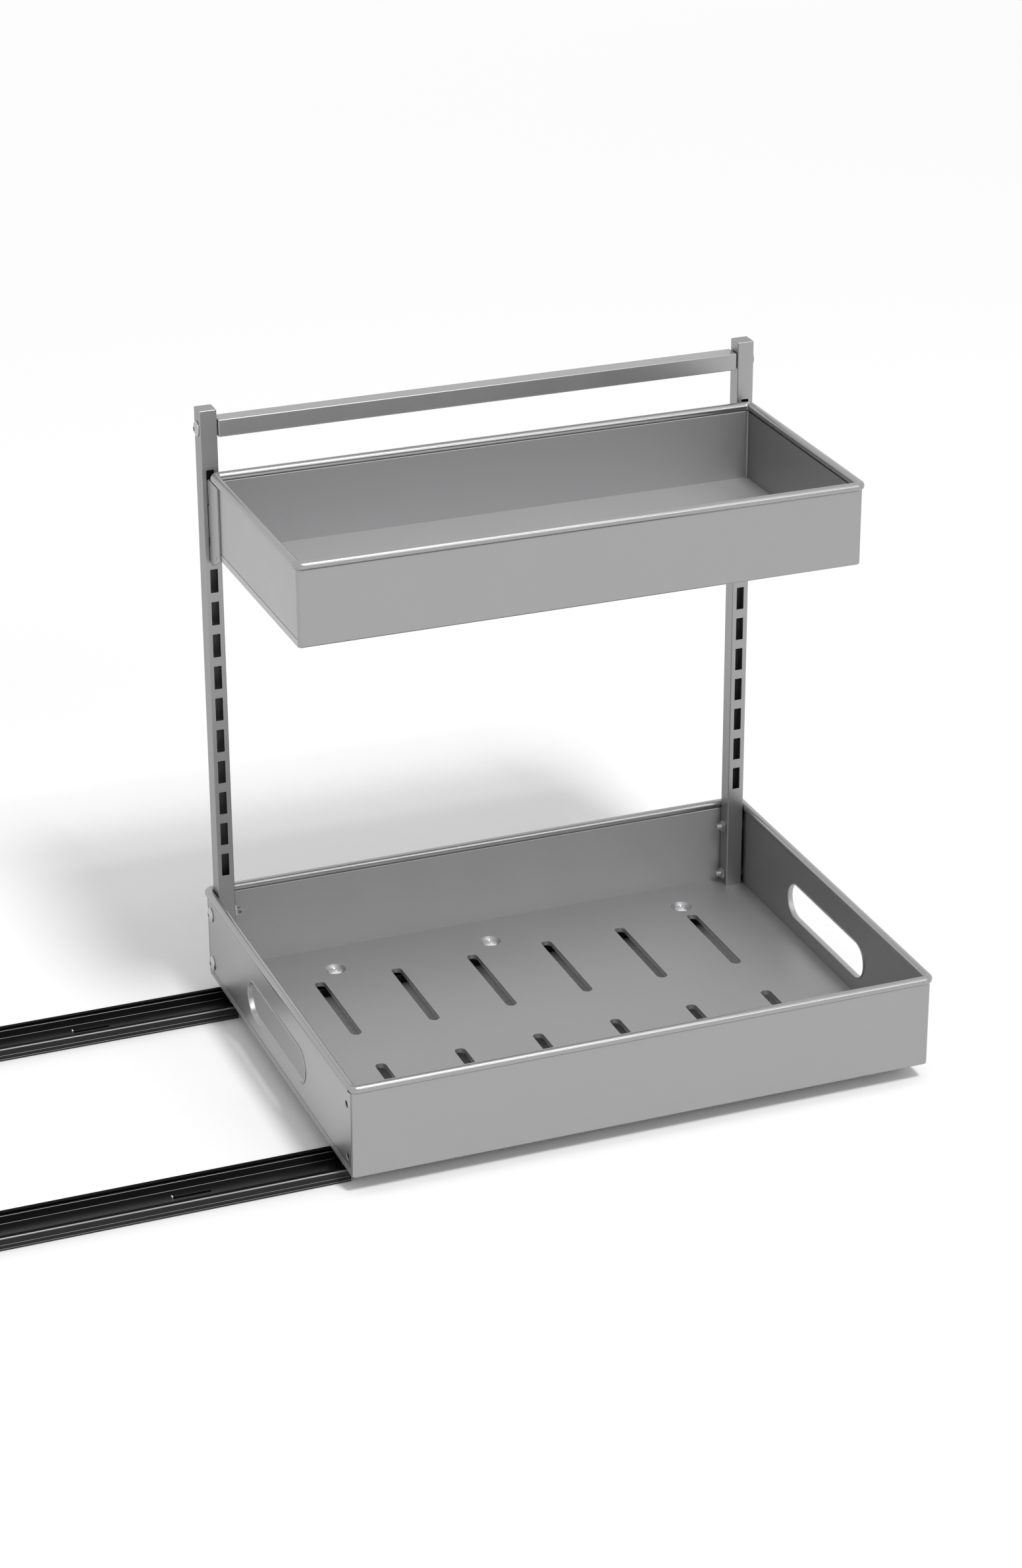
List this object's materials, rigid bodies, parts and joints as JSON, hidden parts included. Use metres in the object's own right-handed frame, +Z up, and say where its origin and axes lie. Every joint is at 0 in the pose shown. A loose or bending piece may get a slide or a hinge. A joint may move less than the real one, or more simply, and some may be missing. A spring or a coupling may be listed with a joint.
{
  "type": "pull out cabinet basket",
  "caption": "Cabinet organiser that pulls out on telescopic ball slides: a sheet metal tray with slotted rear posts, a crossbar and a hook-on upper shelf.",
  "frame": {"origin": "on the cabinet floor, at the centre of the screw pattern that holds the two slides", "axes": "+X is the direction in which the basket pulls out, +Y is across the cabinet towards the posts, +Z is up; the basket is drawn fully pulled out"},
  "size_m": [1.081, 0.414, 0.5727],
  "materials": {
    "sheet_metal": "satin grey",
    "tube_metal": "satin grey",
    "rail_black": "semi-gloss black",
    "zinc": "bright zinc",
    "black_plastic": "matte",
    "ball_steel": "polished"
  },
  "bodies": {
    "slide_base": {"outer_rail_front": "rail_black", "outer_rail_back": "rail_black", "rail_stops": "black_plastic"},
    "outer_cages": {"outer_ball_cages": "zinc", "outer_balls": "ball_steel"},
    "middle_slide": {"middle_rail_front": "rail_black", "middle_rail_back": "rail_black"},
    "inner_cages": {"inner_ball_cages": "zinc", "inner_balls": "ball_steel"},
    "basket": {"inner_rail_front": "rail_black", "inner_rail_back": "rail_black", "floor_spacers": "zinc", "floor_screws": "zinc", "rail_nuts": "zinc", "tray_floor": "sheet_metal", "tray_front_wall": "sheet_metal", "tray_back_wall": "sheet_metal", "tray_end_left": "sheet_metal", "tray_end_right": "sheet_metal", "tray_rim": "tube_metal", "post_left": "tube_metal", "post_right": "tube_metal", "post_spacers": "zinc", "post_bolts": "zinc", "post_nuts": "zinc", "crossbar": "tube_metal", "crossbar_plugs": "black_plastic", "crossbar_screws": "zinc"},
    "shelf": {"shelf_floor": "sheet_metal", "shelf_front_wall": "sheet_metal", "shelf_back_wall": "sheet_metal", "shelf_end_left": "sheet_metal", "shelf_end_right": "sheet_metal", "shelf_rim": "tube_metal", "shelf_bracket_left": "sheet_metal", "shelf_bracket_right": "sheet_metal"}
  },
  "joints": [
    {"name": "middle_pull", "type": "slide", "parent": "slide_base", "child": "middle_slide", "axis": [1, 0, 0], "range_m": [-0.228, 0]},
    {"name": "basket_pull", "type": "slide", "parent": "middle_slide", "child": "basket", "axis": [1, 0, 0], "range_m": [-0.304, 0]},
    {"name": "outer_cage_roll", "type": "slide", "parent": "slide_base", "child": "outer_cages", "axis": [1, 0, 0], "range_m": [-0.114, 0]},
    {"name": "inner_cage_roll", "type": "slide", "parent": "middle_slide", "child": "inner_cages", "axis": [1, 0, 0], "range_m": [-0.152, 0]},
    {"name": "shelf_lift", "type": "slide", "parent": "basket", "child": "shelf", "axis": [0, 0, 1], "range_m": [0, 0.01]}
  ],
  "couplings": [
    {"joint": "basket_pull", "follows": "middle_pull", "ratio": 1.3333},
    {"joint": "outer_cage_roll", "follows": "middle_pull", "ratio": 0.5},
    {"joint": "inner_cage_roll", "follows": "middle_pull", "ratio": 0.66666}
  ]
}
